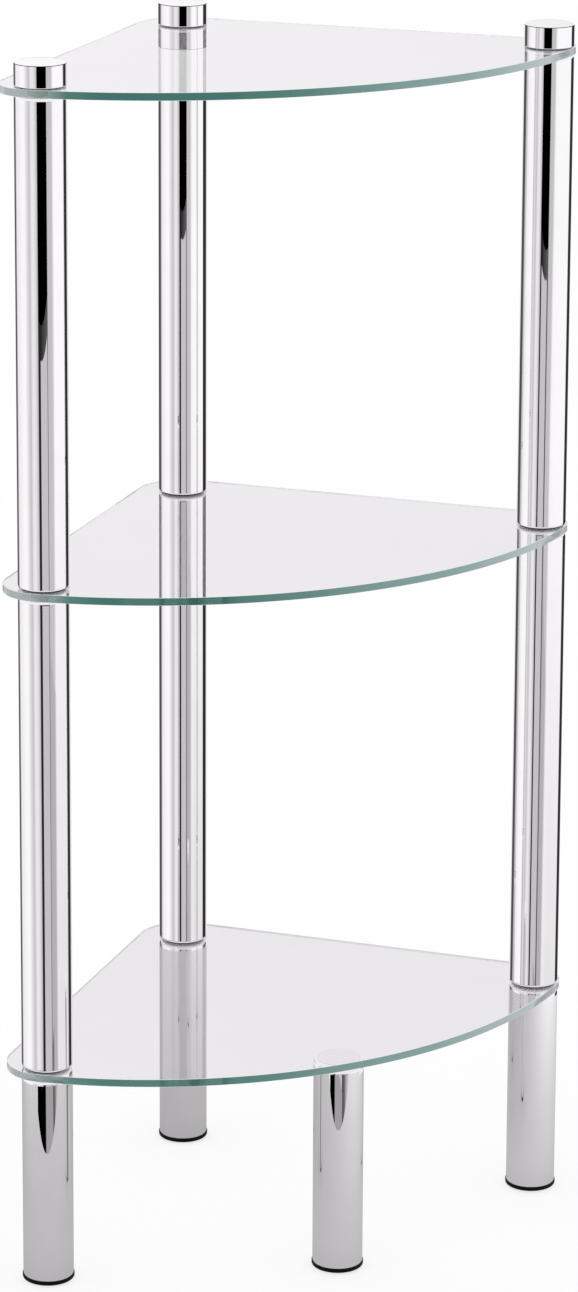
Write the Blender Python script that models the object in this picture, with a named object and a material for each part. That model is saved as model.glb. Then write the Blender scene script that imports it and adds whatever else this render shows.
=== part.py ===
"""Three-tier corner shelf unit: quarter-round glass shelves on chromed tube posts.

Metres, +Z up, origin at the middle of the footprint on the floor. The wall corner that the
unit stands in is at -X, +Y: one straight side of each shelf faces -X and the other faces +Y.
Each post is a stack, screwed together through the glass: glide, leg, shelf, lower tube, shelf,
upper tube, shelf, cap. A fourth, shorter leg is bonded under the front of the bottom shelf.
"""

import math

import bmesh
import bpy
from mathutils import Vector

# Glass shelf: a quarter round about the wall corner, drilled for the studs
SHELF_REACH = 0.294
SHELF_THICKNESS = 0.005
SHELF_ARRIS = 0.0005
BACK_CORNER_RADIUS = 0.030
END_CORNER_RADIUS = 0.028
GLASS_HOLE_PLAY = 0.002

# Where the posts stand
POST_INSET = 0.030
FRONT_INSET = 0.016

# Chromed tube, used for the upper tubes, the lower tubes and the legs
TUBE_DIAMETER = 0.032
TUBE_WALL = 0.0012
TUBE_END_RADIUS = 0.002
TUBE_LIP = 0.0015
TUBE_LENGTH = 0.305
LEG_LENGTH = 0.1325

# Cap on the top shelf
CAP_HEIGHT = 0.0135
CAP_ROOF = 0.004
CAP_EDGE_RADIUS = 0.0007

# Plastic glide under each leg
GLIDE_HEIGHT = 0.003
GLIDE_RIM = 0.0005
GLIDE_ROUND = 0.0014
GLIDE_SPIGOT_LENGTH = 0.012
GLIDE_SPIGOT_WALL = 0.002

# Inner fittings
INSERT_LENGTH = 0.016
STUD_DIAMETER = 0.008
STUD_GRIP = 0.011
STUD_POINT = 0.001
WASHER_THICKNESS = 0.0005
WASHER_SETBACK = 0.002

# Gap kept between pieces that touch on the real unit
FIT = 0.0003

# Facets round a full circle, and steps along each arc of the shelf's outline
TUBE_SEGMENTS = 24
WASHER_SEGMENTS = 16
CORE_SEGMENTS = 12
HOLE_SEGMENTS = 16
CORNER_STEPS = 8
FRONT_STEPS = 24
EDGE_STEPS = 2

# Mesh tolerances: points closer than this merge, and edges steeper than these angles count
MERGE_DISTANCE = 1e-6
SMOOTH_ANGLE = math.radians(35)
ARRIS_ANGLE = math.radians(45)

# Radii that follow from the sizes above
TUBE_OUTER = TUBE_DIAMETER / 2
TUBE_INNER = TUBE_OUTER - TUBE_WALL
WALLS_PER_END_RADIUS = 2.5
END_RADIUS = min(TUBE_END_RADIUS, WALLS_PER_END_RADIUS * TUBE_WALL)
LIP_OPENING = TUBE_OUTER - END_RADIUS - TUBE_LIP
PLUG_RADIUS = TUBE_INNER - FIT
STUD_RADIUS = STUD_DIAMETER / 2
STUD_BORE = STUD_RADIUS + FIT
GLASS_HOLE = STUD_RADIUS + GLASS_HOLE_PLAY
WASHER_RADIUS = TUBE_OUTER - WASHER_SETBACK

# Heights that follow from the sizes above. A shelf joint runs from one tube end to the next.
SHELF_SEAT = WASHER_THICKNESS + 2 * FIT
SHELF_JOINT = SHELF_THICKNESS + 2 * SHELF_SEAT
LEG_BOTTOM = GLIDE_HEIGHT + FIT
LEG_TOP = LEG_BOTTOM + LEG_LENGTH
LOWER_BOTTOM = LEG_TOP + SHELF_JOINT
LOWER_TOP = LOWER_BOTTOM + TUBE_LENGTH
UPPER_BOTTOM = LOWER_TOP + SHELF_JOINT
UPPER_TOP = UPPER_BOTTOM + TUBE_LENGTH
CAP_BOTTOM = UPPER_TOP + SHELF_JOINT

# Where the rounded ends of the shelf are centred, and the outer posts, seen from the wall corner
END_CENTRE = math.sqrt((SHELF_REACH - END_CORNER_RADIUS) ** 2 - END_CORNER_RADIUS**2)
END_ANGLE = math.asin(END_CORNER_RADIUS / (SHELF_REACH - END_CORNER_RADIUS))
POST_CIRCLE = SHELF_REACH - FRONT_INSET
POST_REACH = math.sqrt(POST_CIRCLE**2 - POST_INSET**2)
FRONT_REACH = POST_CIRCLE * math.sqrt(0.5)
SHELF_SPAN = END_CENTRE + END_CORNER_RADIUS
GLIDE_SPAN = POST_REACH + TUBE_OUTER + GLIDE_RIM
HALF_WIDTH = max(SHELF_SPAN, GLIDE_SPAN) / 2
WALL_CORNER = Vector((-HALF_WIDTH, HALF_WIDTH, 0))

POSTS = {
    "left": (POST_INSET, -POST_REACH),
    "back": (POST_INSET, -POST_INSET),
    "right": (POST_REACH, -POST_INSET),
}
FRONT_LEG = (FRONT_REACH, -FRONT_REACH)
SHELVES = {"bottom": LEG_TOP, "middle": LOWER_TOP, "top": UPPER_TOP}


def clear_scene():
    for obj in list(bpy.data.objects):
        bpy.data.objects.remove(obj, do_unlink=True)


def make_material(name, colour, metallic, roughness, transmission=0.0):
    material = bpy.data.materials.new(name)
    material.use_nodes = True
    shader = material.node_tree.nodes["Principled BSDF"]
    shader.inputs["Base Color"].default_value = (*colour, 1)
    shader.inputs["Metallic"].default_value = metallic
    shader.inputs["Roughness"].default_value = roughness
    shader.inputs["Transmission Weight"].default_value = transmission
    return material


def make_materials():
    return {
        "chrome": make_material("chrome", (0.86, 0.86, 0.87), 1.0, 0.05),
        "glass": make_material("glass", (0.80, 0.93, 0.90), 0.0, 0.0, 1.0),
        "rubber": make_material("washer_rubber", (0.05, 0.05, 0.05), 0.0, 0.6),
        "vinyl": make_material("washer_vinyl", (0.92, 0.92, 0.92), 0.0, 0.4),
        "plastic": make_material("glide_plastic", (0.012, 0.012, 0.012), 0.0, 0.35),
        "steel": make_material("zinc_steel", (0.66, 0.67, 0.69), 1.0, 0.35),
        "bond": make_material("adhesive_pad", (0.92, 0.92, 0.91), 0.0, 0.5),
    }


def arc(centre, radius, start, end, steps):
    """Points along an arc in a plane, both ends included. Angles are in degrees."""
    angles = [math.radians(start + (end - start) * i / steps) for i in range(steps + 1)]
    return [(centre[0] + radius * math.cos(a), centre[1] + radius * math.sin(a)) for a in angles]


def make_object(name, mesh, material, parent, height):
    if not mesh.materials:
        mesh.materials.append(material)
    obj = bpy.data.objects.new(name, mesh)
    bpy.context.collection.objects.link(obj)
    obj.parent = parent
    obj.location = (0, 0, height)
    return obj


def make_empty(name, place, parent=None):
    empty = bpy.data.objects.new(name, None)
    bpy.context.collection.objects.link(empty)
    empty.parent = parent
    empty.location = place
    return empty


def turned(name, profile, segments):
    """A mesh turned about Z from a closed profile of (radius, height) points."""
    shape = bmesh.new()
    points = [shape.verts.new((radius, 0, height)) for radius, height in profile]
    edges = [shape.edges.new((a, b)) for a, b in zip(points, points[1:] + points[:1])]
    bmesh.ops.spin(
        shape,
        geom=points + edges,
        axis=(0, 0, 1),
        cent=(0, 0, 0),
        angle=2 * math.pi,
        steps=segments,
        use_merge=True,
    )
    bmesh.ops.remove_doubles(shape, verts=shape.verts, dist=MERGE_DISTANCE)
    flat = [face for face in shape.faces if face.calc_area() < MERGE_DISTANCE**2]
    bmesh.ops.delete(shape, geom=flat, context="FACES_ONLY")
    loose = [edge for edge in shape.edges if not edge.link_faces]
    bmesh.ops.delete(shape, geom=loose, context="EDGES")
    bmesh.ops.recalc_face_normals(shape, faces=shape.faces)
    mesh = bpy.data.meshes.new(name)
    shape.to_mesh(mesh)
    shape.free()
    mesh.shade_smooth()
    mesh.set_sharp_from_angle(angle=SMOOTH_ANGLE)
    return mesh


def rolled_end(end, inward):
    """Profile of a tube end rolled in to a flat lip, from the outside in.

    inward is the way into the tube: 1 at a bottom end, -1 at a top end.
    """
    outside = arc((TUBE_OUTER - END_RADIUS, 0), END_RADIUS, 0, 90, EDGE_STEPS)
    curve = [(radius, end + inward * (END_RADIUS - rise)) for radius, rise in outside]
    lip = [(LIP_OPENING, end), (LIP_OPENING, end + inward * TUBE_WALL)]
    return curve + lip + [(TUBE_INNER, end + inward * TUBE_WALL)]


def tube_mesh():
    bottom = rolled_end(0, 1)
    top = rolled_end(TUBE_LENGTH, -1)
    return turned("tube", top + bottom[::-1], TUBE_SEGMENTS)


def leg_mesh():
    """A leg: rolled at the top, cut square at the bottom for the glide."""
    top = rolled_end(LEG_LENGTH, -1)
    return turned("leg", top + [(TUBE_INNER, 0), (TUBE_OUTER, 0)], TUBE_SEGMENTS)


def cap_mesh():
    """A solid disc with a blind socket for its stud on the underside."""
    rim = TUBE_OUTER - CAP_EDGE_RADIUS
    top = arc((rim, CAP_HEIGHT - CAP_EDGE_RADIUS), CAP_EDGE_RADIUS, 90, 0, EDGE_STEPS)
    bottom = [(TUBE_OUTER, CAP_EDGE_RADIUS), (rim, 0)]
    socket_depth = CAP_HEIGHT - CAP_ROOF
    socket = [(STUD_BORE, 0), (STUD_BORE, socket_depth), (0, socket_depth)]
    return turned("cap", [(0, CAP_HEIGHT)] + top + bottom + socket, TUBE_SEGMENTS)


def glide_mesh():
    """A rim under the leg, rounded at the floor, and a hollow spigot up inside it."""
    rim = TUBE_OUTER + GLIDE_RIM
    floor = arc((rim - GLIDE_ROUND, GLIDE_ROUND), GLIDE_ROUND, -90, 0, EDGE_STEPS)
    spigot_top = GLIDE_HEIGHT + GLIDE_SPIGOT_LENGTH
    spigot = [
        (rim, GLIDE_HEIGHT),
        (PLUG_RADIUS, GLIDE_HEIGHT),
        (PLUG_RADIUS, spigot_top),
        (PLUG_RADIUS - GLIDE_SPIGOT_WALL, spigot_top),
        (PLUG_RADIUS - GLIDE_SPIGOT_WALL, GLIDE_HEIGHT),
        (0, GLIDE_HEIGHT),
    ]
    return turned("glide", [(0, 0)] + floor + spigot, TUBE_SEGMENTS)


def insert_mesh():
    """A plug bored right through for the stud from above. Its top face is at zero."""
    profile = [
        (STUD_BORE, 0),
        (PLUG_RADIUS, 0),
        (PLUG_RADIUS, -INSERT_LENGTH),
        (STUD_BORE, -INSERT_LENGTH),
    ]
    return turned("insert", profile, CORE_SEGMENTS)


def stud_plug_mesh():
    """A plug with a stud below it. The plug's underside is at zero."""
    tip = -(TUBE_WALL + FIT + SHELF_JOINT + TUBE_WALL + FIT + STUD_GRIP)
    profile = [
        (0, INSERT_LENGTH),
        (PLUG_RADIUS, INSERT_LENGTH),
        (PLUG_RADIUS, 0),
        (STUD_RADIUS, 0),
        (STUD_RADIUS, tip + STUD_POINT),
        (STUD_RADIUS - STUD_POINT, tip),
        (0, tip),
    ]
    return turned("stud_plug", profile, CORE_SEGMENTS)


def cap_stud_mesh():
    """A headless stud. Zero is at the cap's underside."""
    top = CAP_HEIGHT - CAP_ROOF - FIT
    tip = -(SHELF_JOINT + TUBE_WALL + FIT + STUD_GRIP)
    profile = [
        (0, top),
        (STUD_RADIUS - STUD_POINT, top),
        (STUD_RADIUS, top - STUD_POINT),
        (STUD_RADIUS, tip + STUD_POINT),
        (STUD_RADIUS - STUD_POINT, tip),
        (0, tip),
    ]
    return turned("cap_stud", profile, CORE_SEGMENTS)


def leg_plug_mesh():
    """The closed plug in the top of the front leg. Its top face is at zero."""
    profile = [(0, 0), (PLUG_RADIUS, 0), (PLUG_RADIUS, -INSERT_LENGTH), (0, -INSERT_LENGTH)]
    return turned("leg_plug", profile, CORE_SEGMENTS)


def washer_mesh():
    profile = [
        (STUD_BORE, WASHER_THICKNESS),
        (WASHER_RADIUS, WASHER_THICKNESS),
        (WASHER_RADIUS, 0),
        (STUD_BORE, 0),
    ]
    return turned("washer", profile, WASHER_SEGMENTS)


def bond_pad_mesh():
    profile = [(0, WASHER_THICKNESS), (WASHER_RADIUS, WASHER_THICKNESS), (WASHER_RADIUS, 0), (0, 0)]
    return turned("bond_pad", profile, WASHER_SEGMENTS)


def shelf_outline():
    """The shelf's outline from the wall corner, anticlockwise seen from above."""
    ends = math.degrees(END_ANGLE)
    back = arc((BACK_CORNER_RADIUS, -BACK_CORNER_RADIUS), BACK_CORNER_RADIUS, 90, 180, CORNER_STEPS)
    left = arc((END_CORNER_RADIUS, -END_CENTRE), END_CORNER_RADIUS, 180, 270 + ends, CORNER_STEPS)
    front = arc((0, 0), SHELF_REACH, -90 + ends, -ends, FRONT_STEPS)
    right = arc((END_CENTRE, -END_CORNER_RADIUS), END_CORNER_RADIUS, -ends, 90, CORNER_STEPS)
    return back + left + front[1:-1] + right


def shelf_mesh():
    """The undrilled pane, extruded up from zero."""
    shape = bmesh.new()
    rim = [shape.verts.new((x, y, 0)) for x, y in shelf_outline()]
    pane = shape.faces.new(rim)
    grown = bmesh.ops.extrude_face_region(shape, geom=[pane])["geom"]
    top = [item for item in grown if isinstance(item, bmesh.types.BMVert)]
    bmesh.ops.translate(shape, verts=top, vec=(0, 0, SHELF_THICKNESS))
    bmesh.ops.recalc_face_normals(shape, faces=shape.faces)
    mesh = bpy.data.meshes.new("shelf")
    shape.to_mesh(mesh)
    shape.free()
    return mesh


def drill(name, parent):
    """A cutter on a post's axis, long enough to drill all the shelves in one line."""
    shape = bmesh.new()
    bmesh.ops.create_cone(
        shape,
        cap_ends=True,
        segments=HOLE_SEGMENTS,
        radius1=GLASS_HOLE,
        radius2=GLASS_HOLE,
        depth=CAP_BOTTOM,
    )
    mesh = bpy.data.meshes.new(name)
    shape.to_mesh(mesh)
    shape.free()
    cutter = bpy.data.objects.new(name, mesh)
    bpy.context.collection.objects.link(cutter)
    cutter.parent = parent
    cutter.location = (0, 0, (LEG_TOP + CAP_BOTTOM) / 2)
    cutter.hide_render = True
    cutter.display_type = "WIRE"
    return cutter


def make_shelves(unit, materials, cutters):
    mesh = shelf_mesh()
    for name, tube_end in SHELVES.items():
        shelf = make_object(f"glass_shelf_{name}", mesh.copy(), materials["glass"], unit, 0)
        shelf.location = (0, 0, tube_end + SHELF_SEAT)
        arris = shelf.modifiers.new("arris", "BEVEL")
        arris.width = SHELF_ARRIS
        arris.segments = 1
        arris.limit_method = "ANGLE"
        arris.angle_limit = ARRIS_ANGLE
        for cutter in cutters:
            hole = shelf.modifiers.new(cutter.name, "BOOLEAN")
            hole.operation = "DIFFERENCE"
            hole.solver = "EXACT"
            hole.object = cutter


def make_post(side, post, meshes, materials):
    """The stack of one post, from the floor to the cap."""
    chrome, steel = materials["chrome"], materials["steel"]
    inside = TUBE_WALL + FIT
    make_object(f"foot_glide_{side}", meshes["glide"], materials["plastic"], post, 0)
    make_object(f"leg_{side}", meshes["leg"], chrome, post, LEG_BOTTOM)
    make_object(f"leg_insert_{side}", meshes["insert"], steel, post, LEG_TOP - inside)
    for storey, bottom, top in (
        ("lower", LOWER_BOTTOM, LOWER_TOP),
        ("upper", UPPER_BOTTOM, UPPER_TOP),
    ):
        make_object(f"{storey}_tube_{side}", meshes["tube"], chrome, post, bottom)
        make_object(f"{storey}_stud_plug_{side}", meshes["stud_plug"], steel, post, bottom + inside)
        make_object(f"{storey}_insert_{side}", meshes["insert"], steel, post, top - inside)
    make_object(f"top_cap_{side}", meshes["cap"], chrome, post, CAP_BOTTOM)
    make_object(f"cap_stud_{side}", meshes["cap_stud"], steel, post, CAP_BOTTOM)
    for shelf, tube_end in SHELVES.items():
        under = tube_end + FIT
        over = tube_end + SHELF_SEAT + SHELF_THICKNESS + FIT
        make_object(f"washer_{shelf}_under_{side}", meshes["under_washer"], materials["vinyl"], post, under)
        make_object(f"washer_{shelf}_over_{side}", meshes["over_washer"], materials["rubber"], post, over)


def make_front_leg(post, meshes, materials):
    make_object("foot_glide_front", meshes["glide"], materials["plastic"], post, 0)
    make_object("leg_front", meshes["leg"], materials["chrome"], post, LEG_BOTTOM)
    plug_top = LEG_TOP - TUBE_WALL - FIT
    make_object("leg_plug_front", leg_plug_mesh(), materials["steel"], post, plug_top)
    make_object("bond_pad_front", bond_pad_mesh(), materials["bond"], post, LEG_TOP + FIT)


def main():
    clear_scene()
    materials = make_materials()
    unit = make_empty("corner_unit", WALL_CORNER)
    meshes = {
        "glide": glide_mesh(),
        "leg": leg_mesh(),
        "tube": tube_mesh(),
        "insert": insert_mesh(),
        "stud_plug": stud_plug_mesh(),
        "cap": cap_mesh(),
        "cap_stud": cap_stud_mesh(),
        "under_washer": washer_mesh(),
        "over_washer": washer_mesh(),
    }
    cutters = []
    for side, place in POSTS.items():
        post = make_empty(f"post_{side}", (*place, 0), unit)
        make_post(side, post, meshes, materials)
        cutters.append(drill(f"drill_{side}", post))
    make_front_leg(make_empty("post_front", (*FRONT_LEG, 0), unit), meshes, materials)
    make_shelves(unit, materials, cutters)


main()
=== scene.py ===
"""Looks of the corner shelf unit: finer pieces, materials, floor, studio and camera.

Metres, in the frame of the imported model: +Z up, the room corner is at -X +Y. Sizes and places
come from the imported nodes; the few section sizes below repeat those of the part's source.
"""

import math

import bmesh
import bpy
from mathutils import Matrix, Vector


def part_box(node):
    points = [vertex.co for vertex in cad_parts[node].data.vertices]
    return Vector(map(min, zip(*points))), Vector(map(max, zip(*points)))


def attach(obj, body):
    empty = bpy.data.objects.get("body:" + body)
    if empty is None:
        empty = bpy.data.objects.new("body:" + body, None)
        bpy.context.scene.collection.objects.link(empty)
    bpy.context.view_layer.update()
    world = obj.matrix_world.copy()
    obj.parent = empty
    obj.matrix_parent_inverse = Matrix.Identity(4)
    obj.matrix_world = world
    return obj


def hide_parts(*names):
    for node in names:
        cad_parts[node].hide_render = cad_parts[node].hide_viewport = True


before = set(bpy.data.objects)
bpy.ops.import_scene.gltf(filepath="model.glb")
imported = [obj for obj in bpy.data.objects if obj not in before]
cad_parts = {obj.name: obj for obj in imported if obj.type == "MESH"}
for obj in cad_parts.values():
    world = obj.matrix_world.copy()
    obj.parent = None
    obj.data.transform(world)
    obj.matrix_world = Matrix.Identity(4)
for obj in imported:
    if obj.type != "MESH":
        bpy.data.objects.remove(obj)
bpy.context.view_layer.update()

BODY = "root"
SIDES = ("left", "back", "right")
LEGS = SIDES + ("front",)
SHELVES = ("top", "middle", "bottom")

# Inner fittings of each post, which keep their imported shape
FITTINGS = (
    "leg_insert",
    "lower_insert",
    "upper_insert",
    "lower_stud_plug",
    "upper_stud_plug",
    "cap_stud",
)

# Section sizes of the pieces
TUBE_WALL = 0.0012
TUBE_END_RADIUS = 0.002
TUBE_LIP = 0.0015
CAP_EDGE_RADIUS = 0.0007
CAP_FOOT_RADIUS = 0.0005
CAP_ROOF = 0.004
STUD_BORE = 0.0043
GLIDE_HEIGHT = 0.003
GLIDE_RIM = 0.0005
GLIDE_ROUND = 0.0014
GLIDE_SPIGOT_WALL = 0.002
FIT = 0.0003

# Rounding of thin edges: the washers, the pad and the glides' shoulders
THIN_ROUND = 0.0002

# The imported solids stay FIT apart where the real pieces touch. Here each washer lies on its
# glass, and each tube end rests on its washer, with only a hair between.
CLOSE = 0.00028
REST = 2 * CLOSE

# Outline of the glass, from the room corner. The arris is finer than the solid's.
SHELF_REACH = 0.294
SHELF_ARRIS = 0.0002
BACK_CORNER_RADIUS = 0.030
END_CORNER_RADIUS = 0.028
GLASS_HOLE = 0.006

# Material slots of a pane
PANE_FACE = 0
PANE_EDGE = 1
PANE_ARRIS = 2

# Distance from a rounded end to the ring that keeps the straight wall's shading level
WALL_RING = 0.0002

# Facets round a full circle, and steps along the arcs
TURN_SEGMENTS = 96
HOLE_SEGMENTS = 32
ROUND_STEPS = 8
CORNER_STEPS = 24
FRONT_STEPS = 96

# A pane's weight for its two rounded ends, and the steps of the front over which it fades
END_WEIGHT = "end"
END_FADE = 5

MERGE_DISTANCE = 1e-7
SMOOTH_ANGLE = math.radians(35)


# Mesh helpers


def arc(centre, radius, start, end, steps):
    """Points along an arc in a plane, both ends included. Angles are in degrees."""
    angles = [math.radians(start + (end - start) * i / steps) for i in range(steps + 1)]
    return [(centre[0] + radius * math.cos(a), centre[1] + radius * math.sin(a)) for a in angles]


def finish_mesh(shape, name):
    """Turn a bmesh into a mesh that is smooth but for its sharp edges."""
    mesh = bpy.data.meshes.new(name)
    shape.to_mesh(mesh)
    shape.free()
    mesh.shade_smooth()
    mesh.set_sharp_from_angle(angle=SMOOTH_ANGLE)
    return mesh


def turned(name, profile, axis):
    """A mesh turned about a vertical axis from a closed profile of (radius, height) points."""
    shape = bmesh.new()
    points = [shape.verts.new((axis.x + radius, axis.y, height)) for radius, height in profile]
    edges = [shape.edges.new((a, b)) for a, b in zip(points, points[1:] + points[:1])]
    bmesh.ops.spin(
        shape,
        geom=points + edges,
        axis=(0, 0, 1),
        cent=(axis.x, axis.y, 0),
        angle=2 * math.pi,
        steps=TURN_SEGMENTS,
        use_merge=True,
    )
    bmesh.ops.remove_doubles(shape, verts=shape.verts, dist=MERGE_DISTANCE)
    flat = [face for face in shape.faces if face.calc_area() < MERGE_DISTANCE**2]
    bmesh.ops.delete(shape, geom=flat, context="FACES_ONLY")
    loose = [edge for edge in shape.edges if not edge.link_faces]
    bmesh.ops.delete(shape, geom=loose, context="EDGES")
    bmesh.ops.recalc_face_normals(shape, faces=shape.faces)
    return finish_mesh(shape, name)


def stand_for(node, mesh, materials):
    """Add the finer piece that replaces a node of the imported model."""
    piece = bpy.data.objects.new(f"{node}_fine", mesh)
    bpy.context.collection.objects.link(piece)
    for material in materials:
        mesh.materials.append(material)
    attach(piece, BODY)
    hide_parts(node)
    return piece


def coat(node, material):
    """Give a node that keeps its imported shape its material."""
    bpy.data.objects[node].data.materials[0] = material


def round_box(node):
    """The axis, radius, bottom and top of a turned node."""
    low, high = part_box(node)
    axis = (low + high) / 2
    return axis, (high.x - low.x) / 2, low.z, high.z


# Pieces


def rolled_end(radius, end, inward):
    """Profile of a tube end rolled in to a flat lip, from the outside in."""
    curve = [(radius, end + inward * (TUBE_END_RADIUS + WALL_RING))]
    curve += [
        (x, end + inward * (TUBE_END_RADIUS - rise))
        for x, rise in arc((radius - TUBE_END_RADIUS, 0), TUBE_END_RADIUS, 0, 90, ROUND_STEPS)
    ]
    opening = radius - TUBE_END_RADIUS - TUBE_LIP
    lip = [(opening, end), (opening, end + inward * TUBE_WALL)]
    return curve + lip + [(radius - TUBE_WALL, end + inward * TUBE_WALL)]


def add_tube(node, chrome):
    """A post tube between two shelves, rolled in at both ends."""
    axis, radius, bottom, top = round_box(node)
    profile = rolled_end(radius, top + REST, -1) + rolled_end(radius, bottom - REST, 1)[::-1]
    stand_for(node, turned(node, profile, axis), [chrome])


def add_leg(node, chrome):
    """A leg, rolled in at its top and open at its foot."""
    axis, radius, bottom, top = round_box(node)
    foot = bottom - CLOSE
    profile = rolled_end(radius, top + REST, -1) + [(radius - TUBE_WALL, foot), (radius, foot)]
    stand_for(node, turned(node, profile, axis), [chrome])


def add_cap(node, chrome):
    """A post cap with a crisp top edge and a socket for its stud."""
    axis, radius, bottom, top = round_box(node)
    bottom -= REST
    edge = (radius - CAP_EDGE_RADIUS, top - CAP_EDGE_RADIUS)
    heel = (radius - CAP_FOOT_RADIUS, bottom + CAP_FOOT_RADIUS)
    crown = arc(edge, CAP_EDGE_RADIUS, 90, 0, ROUND_STEPS)
    foot = arc(heel, CAP_FOOT_RADIUS, 0, -90, ROUND_STEPS)
    wall = [(radius, edge[1] - WALL_RING), (radius, heel[1] + WALL_RING)]
    roof = [(0, top), (edge[0] - WALL_RING, top)]
    socket = [(STUD_BORE, bottom), (STUD_BORE, top - CAP_ROOF), (0, top - CAP_ROOF)]
    stand_for(node, turned(node, roof + crown + wall + foot + socket, axis), [chrome])


def add_glide(node, plastic):
    """A foot glide: a low ring, rounded at the floor, with a spigot up into the leg."""
    axis, radius, bottom, top = round_box(node)
    rim_top = bottom + GLIDE_HEIGHT
    spigot = radius - GLIDE_RIM - TUBE_WALL - FIT
    foot = arc((radius - GLIDE_ROUND, bottom + GLIDE_ROUND), GLIDE_ROUND, -90, 0, ROUND_STEPS)
    shoulder = arc((radius - THIN_ROUND, rim_top - THIN_ROUND), THIN_ROUND, 0, 90, ROUND_STEPS)
    inner = [
        (spigot, rim_top),
        (spigot, top),
        (spigot - GLIDE_SPIGOT_WALL, top),
        (spigot - GLIDE_SPIGOT_WALL, rim_top),
        (0, rim_top),
    ]
    profile = [(0, bottom)] + foot + shoulder + inner
    stand_for(node, turned(node, profile, axis), [plastic])


def add_disc(node, material, seat, bore):
    """A thin washer or pad, moved by seat to lie against its glass."""
    axis, radius, bottom, top = round_box(node)
    bottom += seat
    top += seat
    rim = radius - THIN_ROUND
    upper = arc((rim, top - THIN_ROUND), THIN_ROUND, 90, 0, ROUND_STEPS)
    lower = arc((rim, bottom + THIN_ROUND), THIN_ROUND, 0, -90, ROUND_STEPS)
    profile = [(bore, top)] + upper + lower + [(bore, bottom)]
    stand_for(node, turned(node, profile, axis), [material])


def shelf_outline(corner, inset):
    """The outline of the glass, moved in by inset, anticlockwise seen from above."""
    back, end, reach = BACK_CORNER_RADIUS, END_CORNER_RADIUS, SHELF_REACH
    end_centre = math.sqrt((reach - end) ** 2 - end**2)
    turn = math.degrees(math.asin(end / (reach - end)))
    points = arc((back, -back), back - inset, 90, 180, CORNER_STEPS)
    points += arc((end, -end_centre), end - inset, 180, 270 + turn, CORNER_STEPS)
    points += arc((0, 0), reach - inset, -90 + turn, -turn, FRONT_STEPS)[1:-1]
    points += arc((end_centre, -end), end - inset, -turn, 90, CORNER_STEPS)
    return [(corner.x + x, corner.y + y) for x, y in points]


def end_weights():
    """For each point of the outline: 1 round the two ends, fading to 0 along the front."""
    ends = [1] * (CORNER_STEPS + 1)
    front = [max(0, 1 - min(i, FRONT_STEPS - i) / END_FADE) for i in range(1, FRONT_STEPS)]
    return [0] * (CORNER_STEPS + 1) + ends + front + ends


def loop(shape, points, height):
    """A closed ring of vertices with its edges."""
    ring = [shape.verts.new((x, y, height)) for x, y in points]
    edges = [shape.edges.new((a, b)) for a, b in zip(ring, ring[1:] + ring[:1])]
    return ring, edges


def bridge(shape, lower, upper, slot):
    """Quads between two rings of the same count."""
    for i, vert in enumerate(lower):
        following = (i + 1) % len(lower)
        quad = shape.faces.new((vert, lower[following], upper[following], upper[i]))
        quad.material_index = slot


def shelf_mesh(node):
    """The drilled pane: its faces, its polished edge and its ground arrises and holes."""
    low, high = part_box(node)
    corner = Vector((low.x, high.y, 0))
    shape = bmesh.new()
    weight = shape.verts.layers.float.new(END_WEIGHT)
    levels = [
        (SHELF_ARRIS, low.z),
        (0, low.z + SHELF_ARRIS),
        (0, high.z - SHELF_ARRIS),
        (SHELF_ARRIS, high.z),
    ]
    rings = [loop(shape, shelf_outline(corner, inset), height) for inset, height in levels]
    for ring, _ in rings:
        for vert, value in zip(ring, end_weights()):
            vert[weight] = value
    slots = (PANE_ARRIS, PANE_EDGE, PANE_ARRIS)
    for (lower, _), (upper, _), slot in zip(rings, rings[1:], slots):
        bridge(shape, lower, upper, slot)
    underside = list(rings[0][1])
    topside = list(rings[-1][1])
    for side in SIDES:
        axis = round_box(f"leg_{side}")[0]
        circle = arc(axis, GLASS_HOLE, 360, 0, HOLE_SEGMENTS)[:-1]
        lower, lower_edges = loop(shape, circle, low.z)
        upper, upper_edges = loop(shape, circle, high.z)
        bridge(shape, lower, upper, PANE_ARRIS)
        underside += lower_edges
        topside += upper_edges
    for edges in (underside, topside):
        filled = bmesh.ops.triangle_fill(shape, use_beauty=True, edges=edges)["geom"]
        for item in filled:
            if isinstance(item, bmesh.types.BMFace):
                item.material_index = PANE_FACE
    bmesh.ops.recalc_face_normals(shape, faces=shape.faces)
    return finish_mesh(shape, node)


# Materials. Each has a dark and a pale colour, and the range of its roughness.

# The lilac in the chrome's colours is a painted cast of the studio's light
CHROME_COLOURS = ((0.95, 0.926, 0.95), (0.975, 0.951, 0.975))
CHROME_ROUGHNESS = (0.006, 0.02)
GLASS_COLOURS = ((0.97, 0.965, 0.97), (0.99, 0.985, 0.99))
GLASS_ROUGHNESS = (0.0, 0.012)
ARRIS_COLOURS = ((0.74, 0.87, 0.86), (0.86, 0.94, 0.93))
ARRIS_ROUGHNESS = (0.25, 0.45)
PLASTIC_COLOURS = ((0.002, 0.002, 0.0022), (0.005, 0.005, 0.0055))
PLASTIC_ROUGHNESS = (0.32, 0.48)
RUBBER_COLOURS = ((0.035, 0.035, 0.037), (0.06, 0.06, 0.062))
RUBBER_ROUGHNESS = (0.55, 0.75)
STEEL_COLOURS = ((0.58, 0.59, 0.61), (0.72, 0.73, 0.74))
STEEL_ROUGHNESS = (0.25, 0.42)
VINYL_COLOURS = ((0.90, 0.89, 0.90), (0.95, 0.94, 0.95))
VINYL_ROUGHNESS = (0.32, 0.48)
ADHESIVE_COLOURS = ((0.905, 0.88, 0.905), (0.935, 0.91, 0.935))
ADHESIVE_ROUGHNESS = (0.42, 0.58)
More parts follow.
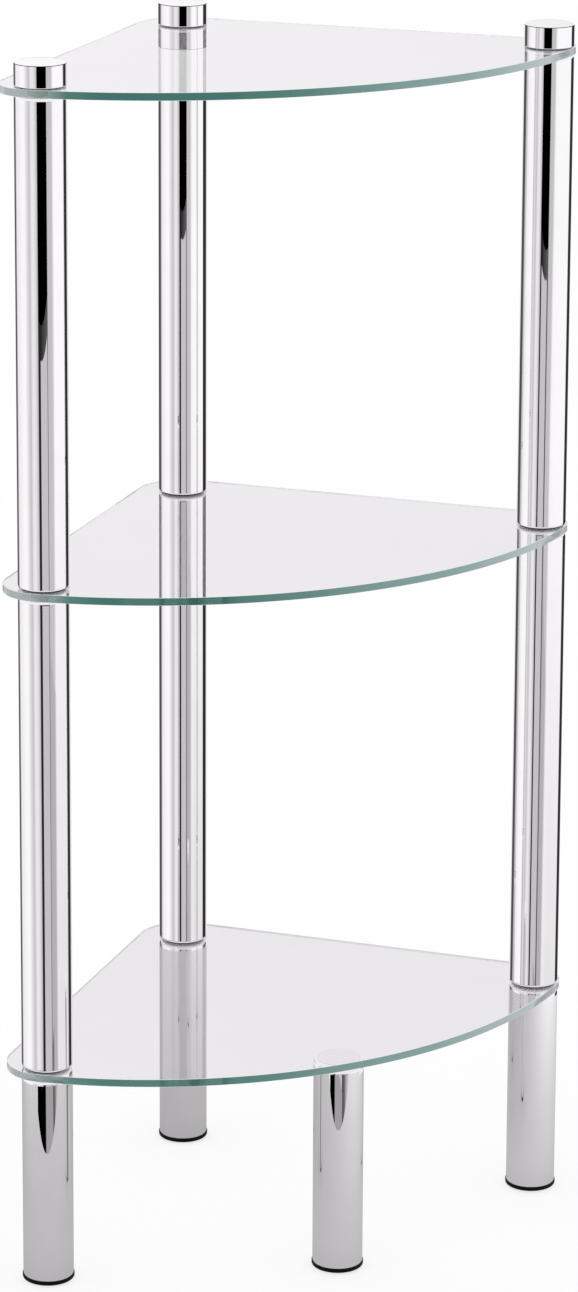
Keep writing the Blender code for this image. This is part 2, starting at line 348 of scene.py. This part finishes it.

# The edge's colour, from looking straight in to looking along it: the glass's deep teal, going
# pale towards looking along it, which is in part a painted reflection
EDGE_TINT_AND_REFLECTION = (
    (0.04, (0.028, 0.126, 0.103)),
    (0.095, (0.066, 0.181, 0.157)),
    (0.175, (0.13, 0.244, 0.224)),
    (0.29, (0.18, 0.30, 0.284)),
    (0.40, (0.288, 0.388, 0.376)),
    (0.62, (0.50, 0.53, 0.53)),
    (0.90, (0.66, 0.68, 0.68)),
)
EDGE_VARIATION = ((0.90, 0.95, 0.94), (1.06, 1.03, 1.03))
EDGE_ROUGHNESS = (0.06, 0.14)

# The same round the two ends, where little glass lies behind the edge
END_TINT_AND_REFLECTION = (
    (0.05, (0.30, 0.355, 0.35)),
    (0.45, (0.32, 0.38, 0.375)),
    (0.75, (0.58, 0.615, 0.61)),
    (0.95, (0.74, 0.76, 0.76)),
)

# The edge seen from within the pane is pale: a painted reflection of the bright surroundings
INNER_EDGE_REFLECTION = (0.88, 0.92, 0.92)

GLASS_IOR = 1.5
EDGE_TRANSMISSION = 0.25
ARRIS_TRANSMISSION = 0.15
PLASTIC_SPECULAR = 0.08

# Scale and detail of the soft sheets' mottle
RUBBER_GRAIN = (700, 4)
MILKY_GRAIN = (350, 3)

# Heights of the bumps
FINE_RELIEF = 0.00002
ARRIS_RELIEF = 0.00001
EDGE_RELIEF = 0.000003

# Most of a noise lies between these values
NOISE_LOW = 0.3
NOISE_HIGH = 0.7


def new_material(name):
    """A material with its node tree and its Principled shader."""
    material = bpy.data.materials.new(name)
    material.use_nodes = True
    return material, material.node_tree, material.node_tree.nodes["Principled BSDF"]


def noise(tree, scale, detail, stretch=(1, 1, 1)):
    """Noise in object coordinates, which are the frame's metres."""
    place = tree.nodes.new("ShaderNodeTexCoord")
    mapping = tree.nodes.new("ShaderNodeMapping")
    mapping.inputs["Scale"].default_value = stretch
    texture = tree.nodes.new("ShaderNodeTexNoise")
    texture.inputs["Scale"].default_value = scale
    texture.inputs["Detail"].default_value = detail
    tree.links.new(place.outputs["Object"], mapping.inputs["Vector"])
    tree.links.new(mapping.outputs["Vector"], texture.inputs["Vector"])
    return texture.outputs["Fac"]


def graded(tree, value, stops):
    """A colour ramp through stops of a position and a colour."""
    ramp = tree.nodes.new("ShaderNodeValToRGB")
    elements = ramp.color_ramp.elements
    for position, _ in stops[1:-1]:
        elements.new(position)
    for element, (position, colour) in zip(elements, stops):
        element.position = position
        element.color = (*colour, 1)
    tree.links.new(value, ramp.inputs["Fac"])
    return ramp.outputs["Color"]


def tint(tree, value, colours):
    """Mix a dark and a pale colour by a noise."""
    dark, pale = colours
    return graded(tree, value, ((NOISE_LOW, dark), (NOISE_HIGH, pale)))


def colour_mix(tree):
    """A node that mixes two colours."""
    mix = tree.nodes.new("ShaderNodeMix")
    mix.data_type = "RGBA"
    return mix


def toward(tree, value, start, goal):
    """Move a colour by a value towards a goal, which is a colour or a socket."""
    mix = colour_mix(tree)
    tree.links.new(value, mix.inputs["Factor"])
    tree.links.new(start, mix.inputs["A"])
    if isinstance(goal, tuple):
        mix.inputs["B"].default_value = (*goal, 1)
    else:
        tree.links.new(goal, mix.inputs["B"])
    return mix.outputs["Result"]


def colour_by(tree, shader, value, colours):
    """Vary the shader's colour by a noise."""
    tree.links.new(tint(tree, value, colours), shader.inputs["Base Color"])


def roughen(tree, shader, value, limits):
    """Vary the shader's roughness by a noise."""
    node = tree.nodes.new("ShaderNodeMapRange")
    node.inputs["From Min"].default_value = NOISE_LOW
    node.inputs["From Max"].default_value = NOISE_HIGH
    node.inputs["To Min"].default_value = limits[0]
    node.inputs["To Max"].default_value = limits[1]
    tree.links.new(value, node.inputs["Value"])
    tree.links.new(node.outputs["Result"], shader.inputs["Roughness"])


def relief(tree, shader, value, distance):
    """Bump of a given height in metres."""
    bump = tree.nodes.new("ShaderNodeBump")
    bump.inputs["Strength"].default_value = 1.0
    bump.inputs["Distance"].default_value = distance
    tree.links.new(value, bump.inputs["Height"])
    tree.links.new(bump.outputs["Normal"], shader.inputs["Normal"])


def chrome_material():
    """Mirror-bright plate with a faint film, wipe marks and a slow ripple along the tube."""
    material, tree, shader = new_material("mirror_chrome")
    shader.inputs["Metallic"].default_value = 1.0
    colour_by(tree, shader, noise(tree, scale=60, detail=4), CHROME_COLOURS)
    wipe = noise(tree, scale=40, detail=5, stretch=(1, 1, 6))
    roughen(tree, shader, wipe, CHROME_ROUGHNESS)
    ripple = noise(tree, scale=16, detail=0, stretch=(1, 1, 0.4))
    relief(tree, shader, ripple, FINE_RELIEF)
    return material


def clear_glass_material():
    """The faces of a pane, with a trace of smears."""
    material, tree, shader = new_material("clear_glass")
    shader.inputs["Transmission Weight"].default_value = 1.0
    shader.inputs["IOR"].default_value = GLASS_IOR
    colour_by(tree, shader, noise(tree, scale=14, detail=3), GLASS_COLOURS)
    smear = noise(tree, scale=30, detail=5, stretch=(1, 2.5, 1))
    roughen(tree, shader, smear, GLASS_ROUGHNESS)
    return material


def edge_glass_material():
    """Deep teal where one looks in through the edge, paler along it: in part painted reflection."""
    material, tree, shader = new_material("polished_glass_edge")
    shader.inputs["Transmission Weight"].default_value = EDGE_TRANSMISSION
    shader.inputs["IOR"].default_value = GLASS_IOR
    slant = tree.nodes.new("ShaderNodeLayerWeight")
    slant.inputs["Blend"].default_value = 0.5
    front = graded(tree, slant.outputs["Facing"], EDGE_TINT_AND_REFLECTION)
    round_end = graded(tree, slant.outputs["Facing"], END_TINT_AND_REFLECTION)
    depth = noise(tree, scale=12, detail=3, stretch=(1, 1, 0.2))
    vary = colour_mix(tree)
    vary.blend_type = "MULTIPLY"
    vary.inputs["Factor"].default_value = 1.0
    tree.links.new(front, vary.inputs["A"])
    tree.links.new(tint(tree, depth, EDGE_VARIATION), vary.inputs["B"])
    end = tree.nodes.new("ShaderNodeAttribute")
    end.attribute_name = END_WEIGHT
    outer = toward(tree, end.outputs["Fac"], vary.outputs["Result"], round_end)
    within = tree.nodes.new("ShaderNodeNewGeometry").outputs["Backfacing"]
    tree.links.new(toward(tree, within, outer, INNER_EDGE_REFLECTION), shader.inputs["Base Color"])
    grind = noise(tree, scale=500, detail=2, stretch=(1, 1, 0.15))
    roughen(tree, shader, grind, EDGE_ROUGHNESS)
    relief(tree, shader, grind, EDGE_RELIEF)
    return material


def arris_glass_material():
    """The ground arrises of a pane, and the walls of its holes."""
    material, tree, shader = new_material("ground_glass_arris")
    shader.inputs["Transmission Weight"].default_value = ARRIS_TRANSMISSION
    grind = noise(tree, scale=900, detail=3)
    colour_by(tree, shader, grind, ARRIS_COLOURS)
    roughen(tree, shader, grind, ARRIS_ROUGHNESS)
    relief(tree, shader, grind, ARRIS_RELIEF)
    return material


def plastic_material():
    """Black plastic with the fine grain of its mould."""
    material, tree, shader = new_material("moulded_black_plastic")
    shader.inputs["Specular IOR Level"].default_value = PLASTIC_SPECULAR
    mottle = noise(tree, scale=400, detail=4)
    colour_by(tree, shader, mottle, PLASTIC_COLOURS)
    roughen(tree, shader, mottle, PLASTIC_ROUGHNESS)
    relief(tree, shader, noise(tree, scale=1800, detail=2), FINE_RELIEF)
    return material


def steel_material():
    """Plated steel with the fine rings of its turning."""
    material, tree, shader = new_material("zinc_plated_steel")
    shader.inputs["Metallic"].default_value = 1.0
    turning = noise(tree, scale=60, detail=3, stretch=(1, 1, 60))
    colour_by(tree, shader, turning, STEEL_COLOURS)
    roughen(tree, shader, turning, STEEL_ROUGHNESS)
    relief(tree, shader, turning, FINE_RELIEF)
    return material


def soft_material(name, grain, colours, roughness):
    """A soft sheet with an even mottle: rubber, vinyl or adhesive."""
    material, tree, shader = new_material(name)
    mottle = noise(tree, *grain)
    colour_by(tree, shader, mottle, colours)
    roughen(tree, shader, mottle, roughness)
    relief(tree, shader, mottle, FINE_RELIEF)
    return material


def dress():
    """Replace the visible nodes by finer pieces, and give the inner ones their materials."""
    chrome = chrome_material()
    plastic = plastic_material()
    steel = steel_material()
    rubber = soft_material("sheet_rubber", RUBBER_GRAIN, RUBBER_COLOURS, RUBBER_ROUGHNESS)
    vinyl = soft_material("milky_vinyl", MILKY_GRAIN, VINYL_COLOURS, VINYL_ROUGHNESS)
    adhesive = soft_material("milky_adhesive", MILKY_GRAIN, ADHESIVE_COLOURS, ADHESIVE_ROUGHNESS)
    glass = [clear_glass_material(), edge_glass_material(), arris_glass_material()]
    for shelf in SHELVES:
        node = f"glass_shelf_{shelf}"
        pane = stand_for(node, shelf_mesh(node), glass)
        pane.visible_glossy = False
        pane.visible_diffuse = False
        pane.visible_shadow = False
    for side in SIDES:
        add_tube(f"upper_tube_{side}", chrome)
        add_tube(f"lower_tube_{side}", chrome)
        add_cap(f"top_cap_{side}", chrome)
        for shelf in SHELVES:
            add_disc(f"washer_{shelf}_over_{side}", rubber, -CLOSE, STUD_BORE)
            add_disc(f"washer_{shelf}_under_{side}", vinyl, CLOSE, STUD_BORE)
        for fitting in FITTINGS:
            coat(f"{fitting}_{side}", steel)
    for leg in LEGS:
        add_leg(f"leg_{leg}", chrome)
        add_glide(f"foot_glide_{leg}", plastic)
    coat("leg_plug_front", steel)
    add_disc("bond_pad_front", adhesive, CLOSE, 0)


# Camera at the photograph's viewing angle

IMAGE_HEIGHT = 1292
SENSOR = 36.0
FOCAL_PIXELS = 4711.78
CAMERA_PLACE = (0.929642, -2.715262, 1.252440)
CAMERA_YAW = math.radians(18.9512)
CAMERA_PITCH = math.radians(12.7719)
CAMERA_ROLL = math.radians(0.2707)
CAMERA_SHIFT = -0.25


def toward_camera():
    """Level unit vectors: towards the camera, and to its right."""
    forward = Vector((math.sin(CAMERA_YAW), -math.cos(CAMERA_YAW), 0))
    right = Vector((math.cos(CAMERA_YAW), math.sin(CAMERA_YAW), 0))
    return forward, right


def camera_axes():
    """The camera's right, up and back axes."""
    forward, right = toward_camera()
    back = math.cos(CAMERA_PITCH) * forward + Vector((0, 0, math.sin(CAMERA_PITCH)))
    up = back.cross(right)
    x = math.cos(CAMERA_ROLL) * right + math.sin(CAMERA_ROLL) * up
    y = math.cos(CAMERA_ROLL) * up - math.sin(CAMERA_ROLL) * right
    return x, y, back


def add_camera():
    """The camera, with the lens that the photograph's height in pixels gives."""
    data = bpy.data.cameras.new("photo_camera")
    data.sensor_width = SENSOR
    data.lens = FOCAL_PIXELS * SENSOR / IMAGE_HEIGHT
    data.shift_y = CAMERA_SHIFT
    camera = bpy.data.objects.new("photo_camera", data)
    bpy.context.collection.objects.link(camera)
    turn = Matrix(camera_axes()).transposed().to_4x4()
    camera.matrix_world = Matrix.Translation(CAMERA_PLACE) @ turn
    bpy.context.scene.camera = camera


# Floor and world. The floor glows, in part, as white as the world.

FLOOR_HALF = 20.0
FLOOR_DROP = 0.001
FLOOR_COLOUR = 0.97
FLOOR_GLOW = 0.75
WORLD_LEVEL = 1.0

# The white surroundings as they look through a pane
THROUGH_GLASS = (0.86, 0.833, 0.86)


def stage_object(name, mesh, material):
    """Add an object that isn't part of the unit."""
    obj = bpy.data.objects.new(name, mesh)
    bpy.context.collection.objects.link(obj)
    mesh.materials.append(material)
    return obj


def mirrored_only(tree, direct, mirrored, sight=None):
    """Show one shader to rays that no mirror has turned, and another to those that one has.

    A sight is the length beyond which a mirrored ray gets the first shader too.
    """
    path = tree.nodes.new("ShaderNodeLightPath")
    mix = tree.nodes.new("ShaderNodeMixShader")
    switch = path.outputs["Glossy Depth"]
    if sight:
        near = tree.nodes.new("ShaderNodeMath")
        near.operation = "LESS_THAN"
        near.inputs[1].default_value = sight
        both = tree.nodes.new("ShaderNodeMath")
        both.operation = "MULTIPLY"
        tree.links.new(path.outputs["Ray Length"], near.inputs[0])
        tree.links.new(switch, both.inputs[0])
        tree.links.new(near.outputs["Value"], both.inputs[1])
        switch = both.outputs["Value"]
    tree.links.new(switch, mix.inputs[0])
    tree.links.new(direct, mix.inputs[1])
    tree.links.new(mirrored, mix.inputs[2])
    tree.links.new(mix.outputs["Shader"], tree.nodes["Material Output"].inputs["Surface"])


def seen_through_glass(tree, plain):
    """A grey level, or its tint for rays that have come through a pane."""
    path = tree.nodes.new("ShaderNodeLightPath")
    mix = colour_mix(tree)
    mix.inputs["A"].default_value = (plain, plain, plain, 1)
    mix.inputs["B"].default_value = (*(plain * part for part in THROUGH_GLASS), 1)
    tree.links.new(path.outputs["Transmission Depth"], mix.inputs["Factor"])
    return mix.outputs["Result"]


def add_floor():
    """A pale floor that keeps a soft shadow. The studio stands in for it in the mirrors."""
    material, tree, shader = new_material("pale_floor")
    tree.links.new(seen_through_glass(tree, FLOOR_COLOUR), shader.inputs["Base Color"])
    shader.inputs["Roughness"].default_value = 1.0
    shader.inputs["Specular IOR Level"].default_value = 0.0
    glow = tree.nodes.new("ShaderNodeEmission")
    tree.links.new(seen_through_glass(tree, WORLD_LEVEL), glow.inputs["Color"])
    lit = tree.nodes.new("ShaderNodeMixShader")
    lit.inputs[0].default_value = FLOOR_GLOW
    tree.links.new(shader.outputs["BSDF"], lit.inputs[1])
    tree.links.new(glow.outputs["Emission"], lit.inputs[2])
    unseen = tree.nodes.new("ShaderNodeBsdfTransparent")
    mirrored_only(tree, lit.outputs["Shader"], unseen.outputs["BSDF"])
    half = FLOOR_HALF
    places = ((-half, -half), (half, -half), (half, half), (-half, half))
    mesh = bpy.data.meshes.new("floor")
    mesh.from_pydata([(x, y, -FLOOR_DROP) for x, y in places], [], [(0, 1, 2, 3)])
    stage_object("floor", mesh, material)


def add_world():
    """Even white light from all sides."""
    world = bpy.data.worlds.new("soft_studio")
    world.use_nodes = True
    tree = world.node_tree
    sky = tree.nodes["Background"]
    tree.links.new(seen_through_glass(tree, WORLD_LEVEL), sky.inputs["Color"])
    bpy.context.scene.world = world


# Studio that the chrome mirrors. Distances are metres from the middle of the unit: out is
# towards the camera, across is to its right. Angles are degrees round the unit from the
# camera's side, positive to its right. Shades are plain light levels, where white is 1.

SHADE = "shade"
STUDIO_LOW = -1.2
STUDIO_HIGH = 2.4
CARD_HIGH = 1.0
ROUND_STEP = 3.0

# The gap between two cards that lie one before the other
LAYER = 0.005

# The wall round the unit: an angle, and the shade below, beside and above the unit
WALL_RADIUS = 2.1
WALL_HEIGHTS = (STUDIO_LOW, -0.6, 0.0, 0.8, 1.0, STUDIO_HIGH)
WALL = (
    (-180, 0.86, 0.86, 0.96),
    (-168, 0.86, 0.86, 1.0),
    (-106, 0.90, 0.90, 1.0),
    (-90, 0.98, 0.98, 1.0),
    (-74, 1.0, 1.0, 1.0),
    (-64, 0.82, 0.82, 0.82),
    (-57, 0.68, 0.68, 0.68),
    (-48, 0.58, 0.58, 0.58),
    (-30, 0.90, 0.90, 0.90),
    (36, 0.90, 0.97, 0.97),
    (60, 0.82, 1.0, 1.0),
    (110, 0.82, 1.0, 1.0),
    (140, 0.84, 0.88, 0.88),
    (168, 0.86, 0.86, 0.88),
    (180, 0.86, 0.86, 0.96),
)

# Two dark screens behind the unit: an angle and the shade
SCREEN_RADIUS = 1.2
SCREEN_LEFT = ((-160, 0.84), (-155, 0.08), (-132, 0.08), (-119, 0.86))
SCREEN_RIGHT = ((118, 0.9), (120, 0.03), (150, 0.03), (154, 0.8))

# The dark opening on the camera's side, with a grey flap in its lower part and dark gaps beside it
FRONT = 1.05
OPENING_LEFT = -0.380
OPENING_RIGHT = 0.354
OPENING_SHADE = 0.0
FLAP_OUT = 0.92
FLAP_LEFT = -0.200
FLAP_RIGHT = 0.245
FLAP_TOP = 0.408
FLAP_SHADE = 0.57
GAP_RIGHT = 0.405
GAP_LEFT_SHADE = 0.02
GAP_RIGHT_SHADE = 0.10

# The panel left of the opening: a place across and the shade
PANEL_LEFT = (
    (-1.30, 0.58),
    (-1.20, 0.57),
    (-1.00, 0.80),
    (-0.80, 0.87),
    (-0.60, 0.78),
    (-0.46, 0.60),
    (OPENING_LEFT, 0.45),
)

# The panel right of it, which bends back: a place out and across, and the shade above and below
# the top of its lower part
LOW_PANEL_TOP = 0.11
PANEL_RIGHT = (
    (FRONT, OPENING_RIGHT, 0.55, 0.45),
    (0.70, 0.55, 0.57, 0.47),
    (0.58, 0.62, 0.97, 0.90),
)

# What only the legs mirror: skirts on the camera's side, and a table top round the feet. Mirrored
# rays that are longer than the sight given here miss them. A skirt is a name, its sight, its place
# out, and knots of a place across, the top there and the shade.
SKIRT_OUT = 0.79
SKIRT_LEFT = -0.195
SKIRT_RIGHT = 0.238
SKIRTS = (
    (
        "left",
        1.0,
        SKIRT_OUT,
        (
            (-0.95, -0.282, 0.0),
            (-0.65, -0.201, 0.0),
            (-0.50, -0.171, 0.0),
            (-0.37, -0.152, 0.0),
            (SKIRT_LEFT, -0.138, 0.0),
        ),
    ),
    (
        "middle",
        0.905,
        SKIRT_OUT,
        (
            (SKIRT_LEFT, -0.138, 0.36),
            (0.03, -0.148, 0.36),
            (0.12, -0.158, 0.36),
            (SKIRT_RIGHT, -0.177, 0.36),
        ),
    ),
    (
        "right",
        1.05,
        SKIRT_OUT,
        (
            (SKIRT_RIGHT, -0.184, 0.09),
            (0.34, -0.206, 0.12),
            (0.38, -0.215, 0.24),
            (0.55, -0.260, 0.30),
        ),
    ),
    (
        "front_leg",
        0.90,
        SKIRT_OUT - LAYER,
        (
            (0.250, -0.150, 0.08),
            (0.300, -0.150, 0.09),
            (0.385, -0.150, 0.16),
            (0.480, -0.150, 0.30),
        ),
    ),
)
TABLE_SIGHT = 0.386
TABLE_HEIGHT = -FLOOR_DROP / 2
TABLE_BACK = -0.6
TABLE_FRONT = 0.315
TABLE_SIDE = 0.6
TABLE_STEP = 0.02
TABLE_SHADE = 0.50
TABLE_SLOPE_OUT = 0.25
TABLE_SLOPE_ACROSS = 0.30
TABLE_RISE_ACROSS = 1.0
TABLE_LEVEL_BACK = -0.1
# Painted shadow of each foot on the table: how much darker, and how far it reaches
FOOT_SHADE = 0.12
FOOT_REACH = 0.06

# Cards close to the legs
NEAR_RADIUS = 0.024
NEAR_TOP = 0.133
NEAR_SIGHT = 0.03

# Thin lines that the left and front legs mirror from the legs beside them, painted as dark cards
# close round these two legs: painted reflections
LINE_LOW = 0.064
LINE_LEFT = ((71, 0.45), (73, 0.08), (75, 0.08), (78, 0.45))
LINE_FRONT = ((-64, 0.45), (-62, 0.05), (-60, 0.45))

# Bright cards round the front leg's top, which is seen only through the glass: a painted
# reflection, pale like the glass around it
RIM_LOW = 0.127
RIM_SHADE = 0.885
RIM_RIGHT = ((75, RIM_SHADE), (138, RIM_SHADE))
RIM_LEFT = ((-138, RIM_SHADE), (-75, RIM_SHADE))

# What a tube end mirrors just below it: close in, a dark ring of painted shade for the gap under
# the tube end, and further out a bright ring that paints the glass's reflection. Another bright
# ring paints the glass's reflection just above the top of a tube or a leg. Lifts are heights over
# the shelf's face.
GAP_SHADOW_INNER = 0.0140
GAP_SHADOW_OUTER = 0.0158
GAP_SHADOW_LIFT = 0.00005
GAP_SHADOW_LEVEL = 0.03
GLINT_RING_INNER = 0.0160
PAINTED_RING_OUTER = 0.03
GLINT_RING_LIFT = -0.0001
GLINT_RING_LEVEL = 0.8
PAINTED_RING_SIGHT = 0.004
UPPER_GLINT_INNER = 0.0142
UPPER_GLINT_LIFT = -0.00005
UPPER_GLINT_LEVEL = 0.92

# A dark hoop close round the top edge of each cap, which shows as a thin line along the edge:
# a painted reflection
HOOP_GAP = 0.0003
HOOP_BELOW = 0.00065
HOOP_ABOVE = 0.0012
HOOP_SIGHT = 0.0015
HOOP_SHADE = 0.02
HOOP = ((-180, HOOP_SHADE), (180, HOOP_SHADE))


def card_material(name, sight=None):
    """Emission at the level that the mesh's own shade gives."""
    material, tree, shader = new_material(name)
    tree.nodes.remove(shader)
    shade = tree.nodes.new("ShaderNodeAttribute")
    shade.attribute_name = SHADE
    glow = tree.nodes.new("ShaderNodeEmission")
    tree.links.new(shade.outputs["Fac"], glow.inputs["Color"])
    unseen = tree.nodes.new("ShaderNodeBsdfTransparent")
    mirrored_only(tree, unseen.outputs["BSDF"], glow.outputs["Emission"], sight)
    return material


def add_card(name, corners, shades, faces, material):
    """A card that only mirrors show, from corners given as out, across and height."""
    forward, right = toward_camera()
    places = [v * forward + w * right + Vector((0, 0, z)) for v, w, z in corners]
    mesh = bpy.data.meshes.new(name)
    mesh.from_pydata(places, [], faces)
    mesh.attributes.new(SHADE, "FLOAT", "POINT").data.foreach_set("value", shades)
    card = stage_object(name, mesh, material)
    card.visible_camera = False
    card.visible_diffuse = False
    card.visible_volume_scatter = False
    card.visible_shadow = False


def grid_faces(columns, rows):
    """Quads of a grid whose points run up each column in turn."""
    return [
        (c * rows + r, (c + 1) * rows + r, (c + 1) * rows + r + 1, c * rows + r + 1)
        for c in range(columns - 1)
        for r in range(rows - 1)
    ]


def fill_knots(knots):
    """The knots of a curved card, with steps between them."""
    columns = []
    for first, last in zip(knots, knots[1:]):
        steps = max(1, math.ceil((last[0] - first[0]) / ROUND_STEP))
        for i in range(steps):
            columns.append([a + (b - a) * i / steps for a, b in zip(first, last)])
    return columns + [knots[-1]]


def add_round_card(name, centre, radius, heights, knots, material):
    """A curved card. A knot is an angle and its shades, each of which holds between two heights."""
    columns = fill_knots(knots)
    corners = []
    shades = []
    for angle, *levels in columns:
        turn = math.radians(angle)
        out = centre[0] + radius * math.cos(turn)
        across = centre[1] + radius * math.sin(turn)
        corners += [(out, across, height) for height in heights]
        for level in levels:
            shades += [level, level]
    add_card(name, corners, shades, grid_faces(len(columns), len(heights)), material)


def add_panel(name, knots, low, material):
    """A standing card. A knot is a place out and across, the top there and the shade."""
    corners = []
    shades = []
    for out, across, top, shade in knots:
        corners += [(out, across, low), (out, across, top)]
        shades += [shade, shade]
    add_card(name, corners, shades, grid_faces(len(knots), 2), material)


def add_ring(name, centre, inner, outer, height, shade, material):
    """A flat ring round a post."""
    angles = [math.radians(step * ROUND_STEP) for step in range(int(360 / ROUND_STEP) + 1)]
    corners = [
        (centre[0] + radius * math.cos(angle), centre[1] + radius * math.sin(angle), height)
        for angle in angles
        for radius in (inner, outer)
    ]
    add_card(name, corners, [shade] * len(corners), grid_faces(len(angles), 2), material)


def add_walls(card):
    """The wall all round, and the two screens before it."""
    middle = (0, 0)
    heights = (STUDIO_LOW, CARD_HIGH)
    add_round_card("studio_wall", middle, WALL_RADIUS, WALL_HEIGHTS, WALL, card)
    add_round_card("studio_screen_left", middle, SCREEN_RADIUS, heights, SCREEN_LEFT, card)
    add_round_card("studio_screen_right", middle, SCREEN_RADIUS, heights, SCREEN_RIGHT, card)


def add_front(card):
    """The panels, the dark opening and the flap on the camera's side."""
    left = [(FRONT, across, CARD_HIGH, shade) for across, shade in PANEL_LEFT]
    right = [(out, across, CARD_HIGH, shade) for out, across, shade, _ in PANEL_RIGHT]
    low_right = [
        (out - LAYER, across, LOW_PANEL_TOP, shade) for out, across, _, shade in PANEL_RIGHT
    ]
    add_panel("studio_panel_left", left, STUDIO_LOW, card)
    add_panel("studio_panel_right", right, STUDIO_LOW, card)
    add_panel("studio_panel_low_right", low_right, STUDIO_LOW, card)
    opening = [(FRONT, x, CARD_HIGH, OPENING_SHADE) for x in (OPENING_LEFT, OPENING_RIGHT)]
    add_panel("studio_opening", opening, FLAP_TOP - LAYER, card)
    gaps = (
        (FRONT - LAYER, OPENING_LEFT, FLAP_TOP, GAP_LEFT_SHADE),
        (FRONT - LAYER, FLAP_LEFT, FLAP_TOP, GAP_LEFT_SHADE),
        (FRONT - LAYER, FLAP_RIGHT, FLAP_TOP, GAP_RIGHT_SHADE),
        (FRONT - LAYER, GAP_RIGHT, FLAP_TOP, GAP_RIGHT_SHADE),
    )
    add_panel("studio_gaps", gaps, STUDIO_LOW, card)
    flap = [(FLAP_OUT, x, FLAP_TOP, FLAP_SHADE) for x in (FLAP_LEFT, FLAP_RIGHT)]
    add_panel("studio_flap", flap, STUDIO_LOW, card)


def add_skirts():
    """Darker cards, low on the camera's side, that show in the upper part of the legs."""
    for part, sight, out, knots in SKIRTS:
        name = f"studio_skirt_{part}"
        panel = [(out, *knot) for knot in knots]
        add_panel(name, panel, STUDIO_LOW, card_material(name, sight))


def table_shade(out, across, feet):
    """The table's shade: paler to the front and sides, with a painted shadow close to a foot."""
    slope = TABLE_SLOPE_OUT * max(out, TABLE_LEVEL_BACK)
    slope += TABLE_SLOPE_ACROSS * across + TABLE_RISE_ACROSS * across**2
    nearest = min(math.hypot(out - foot[0], across - foot[1]) for foot in feet)
    return (TABLE_SHADE + slope) * (1 - FOOT_SHADE * max(0, 1 - nearest / FOOT_REACH))


def add_table(feet):
    """The table top that the lower part of the legs mirrors."""
    outs = math.ceil((TABLE_FRONT - TABLE_BACK) / TABLE_STEP)
    acrosses = math.ceil(2 * TABLE_SIDE / TABLE_STEP)
    corners = [
        (TABLE_FRONT - i * TABLE_STEP, -TABLE_SIDE + j * TABLE_STEP, TABLE_HEIGHT)
        for i in range(outs)
        for j in range(acrosses)
    ]
    shades = [table_shade(out, across, feet) for out, across, _ in corners]
    material = card_material("studio_table", TABLE_SIGHT)
    add_card("studio_table", corners, shades, grid_faces(outs, acrosses), material)


def add_near_cards(feet, near):
    """Painted reflections near the legs: thin lines on two legs, and the front leg's bright rim."""
    for name, leg, low, knots in (
        ("line_left", "left", LINE_LOW, LINE_LEFT),
        ("line_front", "front", LINE_LOW, LINE_FRONT),
        ("rim_left", "front", RIM_LOW, RIM_LEFT),
        ("rim_right", "front", RIM_LOW, RIM_RIGHT),
    ):
        heights = (low, NEAR_TOP)
        add_round_card(f"studio_{name}", feet[leg], NEAR_RADIUS, heights, knots, near)


def add_hoops(feet):
    """The dark hoops round the caps, which paint a reflected line along each top edge."""
    hoop = card_material("studio_hoop", HOOP_SIGHT)
    for side in SIDES:
        _, radius, _, top = round_box(f"top_cap_{side}")
        heights = (top - HOOP_BELOW, top + HOOP_ABOVE)
        add_round_card(f"studio_hoop_{side}", feet[side], radius + HOOP_GAP, heights, HOOP, hoop)


def add_rings(feet, near):
    """The painted rings where the posts and the front leg meet the glass: shade and reflections."""
    collar = card_material("studio_collar", PAINTED_RING_SIGHT)
    for shelf in SHELVES:
        low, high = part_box(f"glass_shelf_{shelf}")
        # Painted shade of the gap under a tube end, and painted reflections of the glass
        rings = (
            ("seam", GAP_SHADOW_INNER, GAP_SHADOW_OUTER, high.z + GAP_SHADOW_LIFT, GAP_SHADOW_LEVEL),
            ("collar", GLINT_RING_INNER, PAINTED_RING_OUTER, high.z + GLINT_RING_LIFT, GLINT_RING_LEVEL),
            ("soffit", UPPER_GLINT_INNER, PAINTED_RING_OUTER, low.z + UPPER_GLINT_LIFT, UPPER_GLINT_LEVEL),
        )
        for side in SIDES:
            for kind, *sizes in rings:
                add_ring(f"studio_{kind}_{shelf}_{side}", feet[side], *sizes, collar)
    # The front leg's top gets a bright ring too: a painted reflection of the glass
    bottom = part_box("glass_shelf_bottom")[0].z
    soffit = (UPPER_GLINT_INNER, PAINTED_RING_OUTER, bottom + UPPER_GLINT_LIFT, RIM_SHADE)
    add_ring("studio_soffit_front", feet["front"], *soffit, near)


def add_studio():
    """All the cards that the chrome mirrors."""
    forward, right = toward_camera()
    axes = {leg: round_box(f"leg_{leg}")[0] for leg in LEGS}
    feet = {leg: (axis.dot(forward), axis.dot(right)) for leg, axis in axes.items()}
    card = card_material("studio_card")
    near = card_material("studio_sleeve", NEAR_SIGHT)
    add_walls(card)
    add_front(card)
    add_skirts()
    add_table(feet.values())
    add_near_cards(feet, near)
    add_hoops(feet)
    add_rings(feet, near)


bpy.context.scene.view_settings.view_transform = "Standard"
dress()
add_floor()
add_studio()
add_world()
add_camera()
